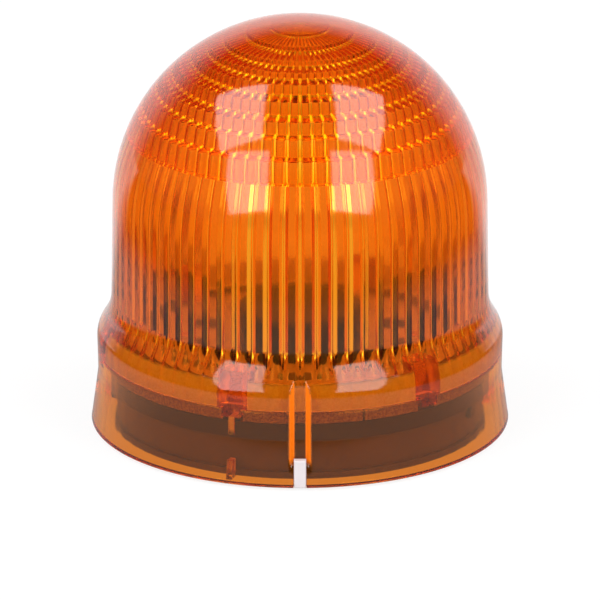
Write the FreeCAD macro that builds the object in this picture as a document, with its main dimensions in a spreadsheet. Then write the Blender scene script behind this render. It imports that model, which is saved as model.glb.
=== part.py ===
"""Signal beacon: an amber bayonet dome on a black base that holds a board of light diodes.

Millimetres. The origin is the middle of the foot, +Z is up and the index mark faces -Y.
Bearings are degrees about +Z, counted from +X.
"""
import FreeCAD, Part
import math
import os
import re

import Sketcher

FRONT = 270.0
UP = FreeCAD.Vector(0, 0, 1)

DIMENSIONS = {
    # Dome and collar, outside
    "dome_radius": 31.0,
    "dome_centre": 38.0,
    "cove_radius": 8.7,
    "lip_radius": 33.72,
    "lip_height": 15.0,
    "lip_round": 4.4,
    "flare_sine": 0.58,
    "flare_cosine": 0.8146,
    "waist_radius": 33.6,
    "waist_height": 9.0,
    "foot_radius": 34.8,
    "foot_height": 0.4,
    # Dome and collar, inside
    "collar_wall": 1.65,
    "skirt_height": 12.7,
    "skirt_radius": 30.7,
    "bore_cove_radius": 10.8,
    "bore_radius": 29.2,
    "flute_count": 72,
    "flute_radius": 1.1,
    "flute_reach": 29.95,
    "flute_top": 40.0,
    # Bayonet lugs, skirt pillars with the tongues below them, and guide ribs under some of those
    "lug_low": 4.6,
    "lug_thick": 2.4,
    "lug_tip": 30.6,
    "lug_root": 33.4,
    "lug_half": 1.6,
    "pillar_circle": 28.9,
    "pillar_radius": 2.3,
    "pillar_tall": 5.6,
    "tongue_tip": 28.2,
    "tongue_root": 32.8,
    "tongue_half": 1.4,
    "tongue_low": 11.2,
    "tongue_bite": 0.5,
    "rib_half": 0.45,
    "rib_upper_low": 8.1,
    "rib_upper_tip": 31.5,
    "rib_upper_root": 32.8,
    "rib_lower_low": 0.7,
    "rib_lower_tip": 31.2,
    "rib_lower_root": 33.8,
    "rib_tall": 3.1,
    # Index channel and its white marker
    "channel_floor": 1.9,
    "channel_mouth": 3.8,
    "channel_low": 5.0,
    "channel_long": 14.0,
    "channel_deep": 0.9,
    "channel_open": 1.2,
    "marker_width": 2.0,
    "marker_tall": 4.7,
    "marker_face": 34.8,
    "marker_back": 33.6,
    "marker_play": 0.05,
    # Foam gasket
    "gasket_inner": 26.6,
    "gasket_outer": 31.2,
    "gasket_low": 10.45,
    "gasket_thick": 2.1,
    "gasket_gap": 0.4,
    "gasket_play": 0.3,
    # Bayonet ring
    "ring_inner": 23.2,
    "ring_outer": 31.15,
    "ring_low": 7.4,
    "ring_thick": 2.9,
    "entry_floor": 30.3,
    "entry_half": 2.3,
    "stop_inner": 30.4,
    "stop_outer": 31.05,
    "stop_half": 0.8,
    "stop_drop": 2.2,
    "ring_screw_circle": 26.0,
    "ring_hole_radius": 1.6,
    "sink_radius": 2.3,
    "sink_deep": 1.7,
    # Base cup
    "cup_outer": 30.3,
    "cup_inner": 28.5,
    "cup_foot_radius": 29.2,
    "cup_low": 0.5,
    "flange_radius": 30.9,
    "flange_low": 0.7,
    "flange_thick": 1.1,
    "floor_top": 2.9,
    "groove_top": 1.1,
    "ring_boss_radius": 2.6,
    "post_radius": 2.6,
    "post_circle": 19.5,
    "pilot_radius": 1.35,
    "pilot_deep": 3.2,
    "mount_circle": 18.0,
    "mount_hole_radius": 2.25,
    "cable_hole_radius": 4.5,
    # Base seal and cable grommet
    "seal_inner": 23.6,
    "seal_outer": 26.6,
    "seal_play": 0.1,
    "grommet_bore": 3.0,
    "grommet_waist": 4.45,
    "grommet_flange": 5.9,
    "grommet_low": 0.15,
    "grommet_shoulder": 3.7,
    "grommet_top": 5.6,
    "grommet_nose": 4.2,
    # Light board
    "board_radius": 26.2,
    "board_low": 11.5,
    "board_thick": 1.6,
    "board_screw_hole": 1.5,
    "access_hole_radius": 2.6,
    "leg_hole_radius": 0.65,
    # Screws
    "ring_head_radius": 1.9,
    "ring_head_tall": 1.5,
    "board_head_radius": 2.2,
    "board_head_tall": 1.6,
    "shank_radius": 1.3,
    "ring_shank_long": 4.2,
    "board_shank_long": 4.6,
    "pan_round": 0.6,
    "recess_long": 2.2,
    "recess_wide": 0.55,
    "recess_deep": 0.9,
    # Light diodes
    "diode_circle": 19.5,
    "diode_wide": 3.5,
    "diode_deep": 2.8,
    "diode_tall": 1.1,
    "diode_well_radius": 1.25,
    "diode_well_deep": 0.5,
    "diode_fill_radius": 1.2,
    # Black cover over the driver
    "cover_radius": 10.4,
    "cover_wall": 0.8,
    "cover_tall": 6.8,
    "cover_edge": 0.8,
    # Supply terminal, under the board
    "terminal_y": 10.5,
    "terminal_wide": 10.2,
    "terminal_deep": 8.0,
    "terminal_tall": 7.9,
    "pole_pitch": 5.0,
    "pocket_wide": 4.1,
    "pocket_deep": 4.3,
    "pocket_low": 0.6,
    "pocket_tall": 5.6,
    "well_radius": 2.0,
    "well_deep": 1.3,
    "web_hole_radius": 1.4,
    "entry_wide": 3.0,
    "entry_tall": 2.2,
    "entry_low": 1.3,
    "bar_wide": 2.0,
    "bar_thick": 0.75,
    "bar_low": 3.2,
    "bar_deep": 5.2,
    "leg_wide": 0.8,
    "leg_deep": 0.6,
    "leg_through": 2.2,
    "leg_play": 0.1,
    "clamp_wide": 3.8,
    "clamp_deep": 4.0,
    "clamp_tall": 4.0,
    "clamp_low": 0.7,
    "window_wide": 2.4,
    "window_tall": 2.7,
    "window_low": 0.7,
    "thread_hole_radius": 1.25,
    "thread_radius": 1.15,
    "thread_long": 2.5,
    "thread_low": 4.2,
    "screw_head_radius": 1.75,
    "screw_head_tall": 1.05,
    "slot_wide": 0.5,
    "slot_deep": 0.6,
    # Parts of the diodes' supply, with their places on the board
    "can_x": -4.6,
    "can_y": 2.2,
    "can_radius": 3.15,
    "can_tall": 4.4,
    "can_round": 0.6,
    "can_groove_radius": 0.25,
    "can_groove_height": 1.0,
    "can_base_side": 6.6,
    "can_base_tall": 0.9,
    "can_base_round": 1.0,
    "choke_x": 4.7,
    "choke_y": 0.6,
    "choke_side": 7.0,
    "choke_tall": 4.2,
    "choke_round": 1.2,
    "choke_dish_radius": 2.7,
    "choke_dish_deep": 0.25,
    "chip_x": -2.5,
    "chip_y": -5.0,
    "chip_long": 4.9,
    "chip_wide": 3.9,
    "chip_tall": 1.5,
    "chip_lead_pitch": 1.27,
    "rectifier_x": -5.8,
    "rectifier_y": -9.9,
    "rectifier_long": 4.7,
    "rectifier_wide": 3.8,
    "rectifier_lead_pitch": 2.5,
    "body_edge": 0.3,
    "lead_wide": 0.5,
    "lead_thick": 0.22,
    "lead_tall": 0.8,
    "lead_foot": 1.0,
    "surge_x": 8.0,
    "surge_y": 4.8,
    "surge_radius": 3.6,
    "surge_thick": 3.0,
    "surge_edge": 0.8,
    "surge_lift": 0.6,
    "surge_wire_radius": 0.3,
    "surge_wire_pitch": 4.0,
    "fuse_x": -7.5,
    "fuse_y": 5.9,
    "fuse_long": 6.1,
    "fuse_side": 2.5,
    "fuse_edge": 0.25,
    "resistor_circle": 16.3,
    "resistor_long": 3.2,
    "resistor_wide": 1.6,
    "resistor_tall": 0.6,
}

# Radii of the stepped prism rings under the crown, from the widest to the pip at the top
TIER_RADII = (27.0, 25.2, 23.2, 21.3, 18.7, 16.0, 13.9, 11.5, 8.05, 4.4, 1.2)
for place, radius in enumerate(TIER_RADII, start=1):
    DIMENSIONS[f"tier_radius_{place}"] = radius

# Bearings of what repeats round the axis
FIRST_LUG = 0.0
LUG_COUNT = 2
FIRST_PILLAR = FRONT - 20.0
PILLAR_COUNT = 6
HALF_FLUTE = 180.0 / DIMENSIONS["flute_count"]
OPEN_STOP = FIRST_LUG + 6.5
SHUT_STOP = FIRST_LUG - 26.5
GASKET_JOINT = FRONT + 19.0
SCREW_BEARINGS = (90.0, 210.0, 330.0)
FIRST_MOUNT_HOLE = 30.0
DIODE_BEARINGS = [third + pair for third in (0, 120, 240) for pair in (57, 71, 109, 123)]
RESISTOR_BEARINGS = [third + pair for third in (0, 120, 240) for pair in (64, 116)]

doc = FreeCAD.newDocument("signal_beacon")
sheet = doc.addObject("Spreadsheet::Sheet", "Dimensions")
for row, (alias, size) in enumerate(DIMENSIONS.items(), start=1):
    sheet.set(f"A{row}", alias)
    sheet.set(f"B{row}", str(size))
    sheet.setAlias(f"B{row}", alias)
doc.recompute()

WORD = re.compile(r"[a-z]+_[a-z0-9_]+")
nodes = {}


def number(expression):
    """The value of an expression in the sheet's words."""
    plain = WORD.sub(lambda word: f"({sheet.get(word.group())})", expression)
    return FreeCAD.Units.Quantity(plain).Value


def bind(item, size, expression):
    """Tie a size of an item to an expression in the sheet's words."""
    item.setExpression(size, WORD.sub(lambda word: f"Dimensions.{word.group()}", expression))


def at(x, y, height, bearing=0.0):
    """The place at x, y and a height in the sheet's words, turned to a bearing."""
    return FreeCAD.Placement(FreeCAD.Vector(x, y, number(height)), FreeCAD.Rotation(UP, bearing))


def shifted(place, x, y, z):
    """A place moved along its own axes."""
    return place * FreeCAD.Placement(FreeCAD.Vector(x, y, z), FreeCAD.Rotation())


def polar(radius, bearing, height):
    """The place on a circle about the axis, facing outwards."""
    angle = math.radians(bearing)
    reach = number(radius)
    return at(reach * math.cos(angle), reach * math.sin(angle), height, bearing)


def origin_item(body, role):
    """One of a body's own origin planes or axes."""
    return next(item for item in body.Origin.OriginFeatures if item.Role == role)


def new_body(name):
    """A body that becomes the sub-part of that name."""
    nodes[name] = doc.addObject("PartDesign::Body", name)
    return nodes[name]


def side_sketch(body):
    """A sketch in the upright plane through the axis: x is the radius and y is the height."""
    sketch = body.newObject("Sketcher::SketchObject", f"{body.Name}_profile")
    sketch.AttachmentSupport = [(origin_item(body, "XZ_Plane"), "")]
    sketch.MapMode = "FlatFace"
    return sketch


def level_sketch(body, name, height, bearing=0.0):
    """A level sketch at a height, with its x turned to a bearing."""
    sketch = body.newObject("Sketcher::SketchObject", f"{body.Name}_{name}_outline")
    sketch.AttachmentSupport = [(origin_item(body, "XY_Plane"), "")]
    sketch.MapMode = "FlatFace"
    sketch.AttachmentOffset = at(0, 0, height, bearing)
    bind(sketch, "AttachmentOffset.Base.z", height)
    return sketch


def arc_between(start, end, radius, turn):
    """The short arc of a radius from start to end that bends left (turn 1) or right (turn -1)."""
    chord = end - start
    left = FreeCAD.Vector(-chord.y, chord.x, 0).normalize()
    rise = math.sqrt(max(radius ** 2 - chord.Length ** 2 / 4, 0))
    centre = (start + end) / 2 + left * rise * turn
    first, last = (start, end) if turn > 0 else (end, start)
    angles = [math.atan2(point.y - centre.y, point.x - centre.x) for point in (first, last)]
    return Part.ArcOfCircle(Part.Circle(centre, UP, radius), *angles)


def draw(sketch, steps):
    """A closed outline through steps of (x, y), or (x, y, radius, turn) where an arc leads there."""
    points = [FreeCAD.Vector(number(step[0]), number(step[1]), 0) for step in steps]
    constraints = []
    expressions = []
    ends = []
    for index, step in enumerate(steps):
        turn = 1
        if len(step) == 2:
            sketch.addGeometry(Part.LineSegment(points[index - 1], points[index]))
        else:
            radius, turn = step[2:]
            sketch.addGeometry(arc_between(points[index - 1], points[index], number(radius), turn))
            constraints.append(Sketcher.Constraint("Radius", index, number(radius)))
            expressions.append(radius)
        ends.append((1, 2) if turn > 0 else (2, 1))
    for index, step in enumerate(steps):
        following = (index + 1) % len(steps)
        end = ends[index][1]
        constraints.append(Sketcher.Constraint("Coincident", index, end, following, ends[following][0]))
        expressions.append(None)
        for axis, line, expression in (("DistanceX", -2, step[0]), ("DistanceY", -1, step[1])):
            if expression == "0":
                constraints.append(Sketcher.Constraint("PointOnObject", index, end, line))
                expressions.append(None)
            else:
                constraints.append(Sketcher.Constraint(axis, -1, 1, index, end, number(expression)))
                expressions.append(expression)
    for place, expression in zip(sketch.addConstraint(constraints), expressions):
        if expression:
            bind(sketch, f"Constraints[{place}]", expression)
    return sketch


def oblong(sketch, near, far, half):
    """A rectangle along the sketch's x, from near to far, of a half width."""
    left = f"-({half})"
    return draw(sketch, [(near, left), (far, left), (far, half), (near, half)])


def circle(sketch, reach, radius):
    """A circle on the sketch's x axis."""
    centre = FreeCAD.Vector(number(reach), 0, 0)
    sketch.addGeometry(Part.Circle(centre, UP, number(radius)))
    size = sketch.addConstraint(Sketcher.Constraint("Radius", 0, number(radius)))
    bind(sketch, f"Constraints[{size}]", radius)
    sketch.addConstraint(Sketcher.Constraint("PointOnObject", 0, 3, -1))
    if reach == "0":
        sketch.addConstraint(Sketcher.Constraint("PointOnObject", 0, 3, -2))
    else:
        place = sketch.addConstraint(Sketcher.Constraint("DistanceX", -1, 1, 0, 3, centre.x))
        bind(sketch, f"Constraints[{place}]", reach)
    return sketch


def revolve(body, steps):
    """The body's main form: a profile of radius and height turned about the axis."""
    sketch = draw(side_sketch(body), steps)
    turned = body.newObject("PartDesign::Revolution", f"{body.Name}_turned")
    turned.Profile = sketch
    turned.ReferenceAxis = (sketch, ["V_Axis"])
    turned.Angle = 360
    doc.recompute()
    return turned


def feature(body, kind, name, sketch, length, upwards):
    """A Pad or Pocket of a level sketch, upwards or downwards from it."""
    made = body.newObject(f"PartDesign::{kind}", f"{body.Name}_{name}")
    made.Profile = sketch
    made.Reversed = upwards if kind == "Pocket" else not upwards
    bind(made, "Length", length)
    doc.recompute()
    return made


def repeat(body, original, count):
    """Equal copies of a feature round the axis."""
    ring = body.newObject("PartDesign::PolarPattern", f"{original.Name}_ring")
    ring.Originals = [original]
    ring.Axis = (origin_item(body, "Z_Axis"), [""])
    ring.Angle = 360
    ring.Occurrences = count
    body.Tip = ring
    doc.recompute()
    return ring


def primitive(kind, name, place, **sizes):
    """A primitive solid with its sizes in the sheet's words."""
    solid = doc.addObject(f"Part::{kind}", name)
    for size, expression in sizes.items():
        bind(solid, size, expression)
    solid.Placement = place
    return solid


def block(name, place, length, width, height):
    """A block that stands centred on a place."""
    corner = shifted(place, -number(length) / 2, -number(width) / 2, 0)
    return primitive("Box", name, corner, Length=length, Width=width, Height=height)


def rod(name, place, radius, height):
    """A cylinder that stands on a place."""
    return primitive("Cylinder", name, place, Radius=radius, Height=height)


def fuse(name, solids):
    """Several solids made one."""
    joined = doc.addObject("Part::MultiFuse", name)
    joined.Shapes = solids
    return joined


def cut(name, solid, tools):
    """A solid less one or more tools."""
    remains = doc.addObject("Part::Cut", name)
    remains.Base = solid
    remains.Tool = tools[0] if len(tools) == 1 else fuse(f"{name}_tools", tools)
    return remains


def soften(name, solid, radius, edges):
    """A solid with the edges that a test accepts rounded to a radius."""
    doc.recompute()
    softened = doc.addObject("Part::Fillet", name)
    softened.Base = solid
    chosen = [place for place, edge in enumerate(solid.Shape.Edges, start=1) if edges(edge)]
    softened.Edges = [(place, number(radius), number(radius)) for place in chosen]
    return softened


def below(x, y, drop):
    """The place under the board at x and y, a drop in the sheet's words below it, facing down."""
    over = FreeCAD.Rotation(FreeCAD.Vector(1, 0, 0), 180)
    return FreeCAD.Placement(FreeCAD.Vector(x, y, number(f"board_low - ({drop})")), over)


def upright(edge):
    """Whether an edge runs along Z."""
    return edge.BoundBox.ZLength > max(edge.BoundBox.XLength, edge.BoundBox.YLength)


def far_end(place, length):
    """A test for edges round the far end of a piece that stands on a place and has a length."""
    back = place.inverse()
    return lambda edge: back.multVec(edge.CenterOfMass).z > 0.75 * number(length)


def group(name, solids):
    """Like pieces that stay separate solids of one sub-part."""
    nodes[name] = doc.addObject("Part::Compound", name)
    nodes[name].Links = solids


# Amber dome: crown, drafted wall, cove, rounded lip and waisted collar, one moulding.
# Cove and lip meet on a slant of 35 degrees, and the bore follows the cove down to the skirt. Under the crown
# the cavity climbs in level treads and upright risers.
dome = new_body("lens_dome")
flare = "(lip_round + cove_radius)"
root_radius = f"lip_radius - {flare} * (1 - flare_cosine)"
root_height = f"lip_height + {flare} * flare_sine"
bore_drop = "sqrt(bore_cove_radius^2 - (bore_cove_radius + bore_radius - skirt_radius)^2)"
collar_inside = "waist_radius - collar_wall"
stairs = [("0", f"dome_centre + sqrt(bore_radius^2 - tier_radius_{len(TIER_RADII)}^2)")]
for tier in range(len(TIER_RADII), 1, -1):
    radius = f"tier_radius_{tier}"
    stairs.append((radius, f"dome_centre + sqrt(bore_radius^2 - {radius}^2)"))
    stairs.append((radius, f"dome_centre + sqrt(bore_radius^2 - tier_radius_{tier - 1}^2)"))
stairs.append(("tier_radius_1", "dome_centre + sqrt(bore_radius^2 - tier_radius_1^2)"))
revolve(dome, [
    ("foot_radius - collar_wall", "foot_height"),
    ("foot_radius", "foot_height"),
    ("waist_radius", "waist_height"),
    ("lip_radius", "lip_height"),
    ("lip_radius - lip_round * (1 - flare_cosine)", "lip_height + lip_round * flare_sine", "lip_round", 1),
    (root_radius, root_height, "cove_radius", -1),
    ("dome_radius", "dome_centre"),
    ("0", "dome_centre + dome_radius", "dome_radius", 1),
    *stairs,
    ("bore_radius", "dome_centre", "bore_radius", -1),
    ("bore_radius", root_height),
    ("skirt_radius", f"{root_height} - {bore_drop}", "bore_cove_radius", 1),
    ("skirt_radius", "skirt_height"),
    (collar_inside, "skirt_height"),
    (collar_inside, "waist_height"),
])

# Round upright flutes inside the wall, with a crest at the front
flute_sketch = level_sketch(dome, "flute", "skirt_height", HALF_FLUTE)
flute_outline = circle(flute_sketch, "flute_reach - flute_radius", "flute_radius")
flute = feature(dome, "Pocket", "flute", flute_outline, "flute_top - skirt_height", True)
flutes = repeat(dome, flute, DIMENSIONS["flute_count"])
bind(flutes, "Occurrences", "flute_count")

# Bayonet lugs inside the collar, round pillars on the wall above the skirt's edge, tongues that tie
# them to the collar below it, and guide ribs in line with half of them
lug_outline = oblong(level_sketch(dome, "lug", "lug_low", FIRST_LUG), "lug_tip", "lug_root", "lug_half")
repeat(dome, feature(dome, "Pad", "lug", lug_outline, "lug_thick", True), LUG_COUNT)
pillar_sketch = level_sketch(dome, "pillar", "skirt_height", FIRST_PILLAR)
pillar_outline = circle(pillar_sketch, "pillar_circle", "pillar_radius")
repeat(dome, feature(dome, "Pad", "pillar", pillar_outline, "pillar_tall", True), PILLAR_COUNT)
tongue_sketch = level_sketch(dome, "tongue", "tongue_low", FIRST_PILLAR)
tongue_outline = oblong(tongue_sketch, "tongue_tip", "tongue_root", "tongue_half")
tongue_tall = "skirt_height + tongue_bite - tongue_low"
repeat(dome, feature(dome, "Pad", "tongue", tongue_outline, tongue_tall, True), PILLAR_COUNT)
for name in ("rib_upper", "rib_lower"):
    rib_sketch = level_sketch(dome, name, f"{name}_low", FIRST_PILLAR)
    rib_outline = oblong(rib_sketch, f"{name}_tip", f"{name}_root", "rib_half")
    repeat(dome, feature(dome, "Pad", name, rib_outline, "rib_tall", True), 3)

# Index channel: a trough with sloped sides that follows the draft of the collar
lean = math.degrees(math.atan2(number("foot_radius - lip_radius"), number("lip_height - foot_height")))
low_share = number("channel_low - foot_height") / number("waist_height - foot_height")
low_radius = number("foot_radius") - low_share * number("foot_radius - waist_radius")
channel = dome.newObject("PartDesign::SubtractiveWedge", "lens_dome_channel")
for size, expression in {
    "Xmin": "-channel_floor / 2", "Xmax": "channel_floor / 2",
    "X2min": "-channel_mouth / 2", "X2max": "channel_mouth / 2",
    "Ymin": "-channel_deep", "Ymax": "channel_open",
    "Zmin": "0", "Zmax": "channel_long",
    "Z2min": "0", "Z2max": "channel_long",
}.items():
    bind(channel, size, expression)
outwards = FreeCAD.Rotation(UP, 180) * FreeCAD.Rotation(FreeCAD.Vector(1, 0, 0), lean)
channel.Placement = FreeCAD.Placement(FreeCAD.Vector(0, -low_radius, number("channel_low")), outwards)

# Notch in the rim for the white marker
notch = dome.newObject("PartDesign::SubtractiveBox", "lens_dome_notch")
bind(notch, "Length", "marker_width + 2 * marker_play")
bind(notch, "Width", "marker_face - marker_back")
bind(notch, "Height", "marker_tall + marker_play")
notch_side = -number("marker_width / 2 + marker_play")
notch.Placement = at(notch_side, -number("marker_face"), "foot_height")
marker_place = at(0, -number("marker_face + marker_back") / 2, "foot_height")
marker = block("marker_block", marker_place, "marker_width", "marker_face - marker_back", "marker_tall")
marker_middle = marker_place.Base.y
nodes["index_marker"] = soften(
    "index_marker", marker, "body_edge", lambda edge: edge.BoundBox.YMax < marker_middle)

# Foam gasket: a flat washer, notched for the lugs and tongues and butted at one place
gasket = new_body("lens_gasket")
gasket_top = "gasket_low + gasket_thick"
revolve(gasket, [
    ("gasket_inner", "gasket_low"),
    ("gasket_outer", "gasket_low"),
    ("gasket_outer", gasket_top),
    ("gasket_inner", gasket_top),
])
pass_sketch = level_sketch(gasket, "pass", gasket_top, FIRST_LUG)
pass_outline = oblong(pass_sketch, "entry_floor", "lug_root", "entry_half")
repeat(gasket, feature(gasket, "Pocket", "pass", pass_outline, "gasket_thick", False), LUG_COUNT)
slit_sketch = level_sketch(gasket, "tongue_slit", gasket_top, FIRST_PILLAR)
slit_outline = oblong(slit_sketch, "tongue_tip - gasket_play", "lug_root", "tongue_half + gasket_play")
repeat(gasket, feature(gasket, "Pocket", "tongue_slit", slit_outline, "gasket_thick", False), PILLAR_COUNT)
joint_sketch = level_sketch(gasket, "joint", gasket_top, GASKET_JOINT)
joint_outline = oblong(joint_sketch, "ring_inner", "lug_root", "gasket_gap / 2")
feature(gasket, "Pocket", "joint", joint_outline, "gasket_thick", False)

# Bayonet ring: entries for the lugs, stops under it at both ends of the twist, sunk screw holes
ring = new_body("bayonet_ring")
ring_top = "ring_low + ring_thick"
revolve(ring, [
    ("ring_inner", "ring_low"),
    ("ring_outer", "ring_low"),
    ("ring_outer", ring_top),
    ("ring_inner", ring_top),
])
entry_sketch = level_sketch(ring, "entry", ring_top, FIRST_LUG)
entry_outline = oblong(entry_sketch, "entry_floor", "lug_root", "entry_half")
repeat(ring, feature(ring, "Pocket", "entry", entry_outline, "ring_thick", False), LUG_COUNT)
for stop_name, bearing in (("open_stop", OPEN_STOP), ("shut_stop", SHUT_STOP)):
    stop_sketch = level_sketch(ring, stop_name, "ring_low", bearing)
    stop_outline = oblong(stop_sketch, "stop_inner", "stop_outer", "stop_half")
    repeat(ring, feature(ring, "Pad", stop_name, stop_outline, "stop_drop", False), LUG_COUNT)
for name, radius, deep in (("hole", "ring_hole_radius", "ring_thick"), ("sink", "sink_radius", "sink_deep")):
    hole_outline = circle(level_sketch(ring, name, ring_top, SCREW_BEARINGS[0]), "ring_screw_circle", radius)
    repeat(ring, feature(ring, "Pocket", name, hole_outline, deep, False), 3)

# Base cup: floor with a seal groove below, foot flange, wall, screw bosses, board posts and fixing holes
cup = new_body("base_cup")
revolve(cup, [
    ("cable_hole_radius", "cup_low"),
    ("seal_inner - seal_play", "cup_low"),
    ("seal_inner - seal_play", "groove_top"),
    ("seal_outer + seal_play", "groove_top"),
    ("seal_outer + seal_play", "cup_low"),
    ("cup_foot_radius", "cup_low"),
    ("cup_foot_radius", "flange_low"),
    ("flange_radius", "flange_low"),
    ("flange_radius", "flange_low + flange_thick"),
    ("cup_outer", "flange_low + flange_thick"),
    ("cup_outer", "ring_low"),
    ("cup_inner", "ring_low"),
    ("cup_inner", "floor_top"),
    ("cable_hole_radius", "floor_top"),
])
for name, reach, radius, top in (
    ("ring_boss", "ring_screw_circle", "ring_boss_radius", "ring_low"),
    ("post", "post_circle", "post_radius", "board_low"),
):
    boss_circle = circle(level_sketch(cup, name, "floor_top", SCREW_BEARINGS[0]), reach, radius)
    repeat(cup, feature(cup, "Pad", name, boss_circle, f"{top} - floor_top", True), 3)
    pilot_circle = circle(level_sketch(cup, f"{name}_pilot", top, SCREW_BEARINGS[0]), reach, "pilot_radius")
    repeat(cup, feature(cup, "Pocket", f"{name}_pilot", pilot_circle, "pilot_deep", False), 3)
mount_sketch = level_sketch(cup, "mount_hole", "floor_top", FIRST_MOUNT_HOLE)
mount_outline = circle(mount_sketch, "mount_circle", "mount_hole_radius")
repeat(cup, feature(cup, "Pocket", "mount_hole", mount_outline, "floor_top", False), 3)

# Rubber seal in the groove under the cup, and the grommet in its middle
revolve(new_body("base_seal"), [
    ("seal_inner", "0"),
    ("seal_outer", "0"),
    ("seal_outer", "groove_top"),
    ("seal_inner", "groove_top"),
])
revolve(new_body("cable_grommet"), [
    ("grommet_bore", "grommet_low"),
    ("grommet_flange", "grommet_low"),
    ("grommet_flange", "cup_low"),
    ("grommet_waist", "cup_low"),
    ("grommet_waist", "floor_top"),
    ("grommet_flange", "floor_top"),
    ("grommet_flange", "grommet_shoulder"),
    ("grommet_nose", "grommet_top"),
    ("grommet_bore", "grommet_top"),
])

# Light board: a disc with screw holes, access holes over the fixing holes and holes for the terminal's legs
board = new_body("circuit_board")
board_top = "board_low + board_thick"
revolve(board, [
    ("0", "board_low"),
    ("board_radius", "board_low"),
    ("board_radius", board_top),
    ("0", board_top),
])
access_sketch = level_sketch(board, "access_hole", board_top, FIRST_MOUNT_HOLE)
access_outline = circle(access_sketch, "mount_circle", "access_hole_radius")
repeat(board, feature(board, "Pocket", "access_hole", access_outline, "board_thick", False), 3)
fixing_sketch = level_sketch(board, "screw_hole", board_top, SCREW_BEARINGS[0])
fixing_outline = circle(fixing_sketch, "post_circle", "board_screw_hole")
repeat(board, feature(board, "Pocket", "screw_hole", fixing_outline, "board_thick", False), 3)
leg_reach = "terminal_y + bar_deep / 2 - leg_deep / 2"
leg_y = number(leg_reach)
for side, name in ((-1, "leg_hole_left"), (1, "leg_hole_right")):
    leg_x = side * number("pole_pitch") / 2
    leg_sketch = level_sketch(board, name, board_top, math.degrees(math.atan2(leg_y, leg_x)))
    leg_outline = circle(leg_sketch, f"sqrt((pole_pitch / 2)^2 + ({leg_reach})^2)", "leg_hole_radius")
    feature(board, "Pocket", name, leg_outline, "board_thick", False)


def pan_screw(name, place, head_radius, head_tall, shank_long):
    """A pan-head screw with a cross recess, its head seated on a place."""
    head = rod(f"{name}_head", place, head_radius, head_tall)
    head = soften(f"{name}_pan", head, "pan_round", lambda edge: edge.BoundBox.ZMin > place.Base.z)
    shank = rod(f"{name}_shank", shifted(place, 0, 0, -number(shank_long)), "shank_radius", shank_long)
    sunk = shifted(place, 0, 0, number(f"{head_tall} - recess_deep"))
    slots = []
    for turn, sizes in (("a", ("recess_long", "recess_wide")), ("b", ("recess_wide", "recess_long"))):
        slots.append(block(f"{name}_slot_{turn}", sunk, *sizes, "recess_deep"))
    return cut(f"{name}_made", fuse(f"{name}_blank", [head, shank]), slots)


# Screws of the ring and of the board
group("ring_screws", [
    pan_screw(f"ring_screw_{bearing:.0f}", polar("ring_screw_circle", bearing, f"{ring_top} - sink_deep"),
              "ring_head_radius", "ring_head_tall", "ring_shank_long")
    for bearing in SCREW_BEARINGS
])
group("board_screws", [
    pan_screw(f"board_screw_{bearing:.0f}", polar("post_circle", bearing, board_top),
              "board_head_radius", "board_head_tall", "board_shank_long")
    for bearing in SCREW_BEARINGS
])

# Light diodes: white housings with a round well, and the clear fill in each well
housings = []
fills = []
for bearing in DIODE_BEARINGS:
    well = polar("diode_circle", bearing, f"{board_top} + diode_tall - diode_well_deep")
    housing = block(f"diode_block_{bearing}", polar("diode_circle", bearing, board_top),
                    "diode_deep", "diode_wide", "diode_tall")
    well_tool = rod(f"diode_well_{bearing}", well, "diode_well_radius", "diode_well_deep")
    housings.append(cut(f"diode_housing_{bearing}", housing, [well_tool]))
    fills.append(rod(f"diode_fill_{bearing}", well, "diode_fill_radius", "diode_well_deep"))
group("led_packages", housings)
group("led_lenses", fills)

# Driver cover: a black cap on the middle of the board
cover_top = f"{board_top} + cover_tall"
revolve(new_body("driver_cover"), [
    ("cover_radius - cover_wall", board_top),
    ("cover_radius", board_top),
    ("cover_radius", f"{cover_top} - cover_edge"),
    ("cover_radius - cover_edge", cover_top, "cover_edge", 1),
    ("0", cover_top),
    ("0", f"{cover_top} - cover_wall"),
    ("cover_radius - cover_wall", f"{cover_top} - cover_wall"),
])

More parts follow.
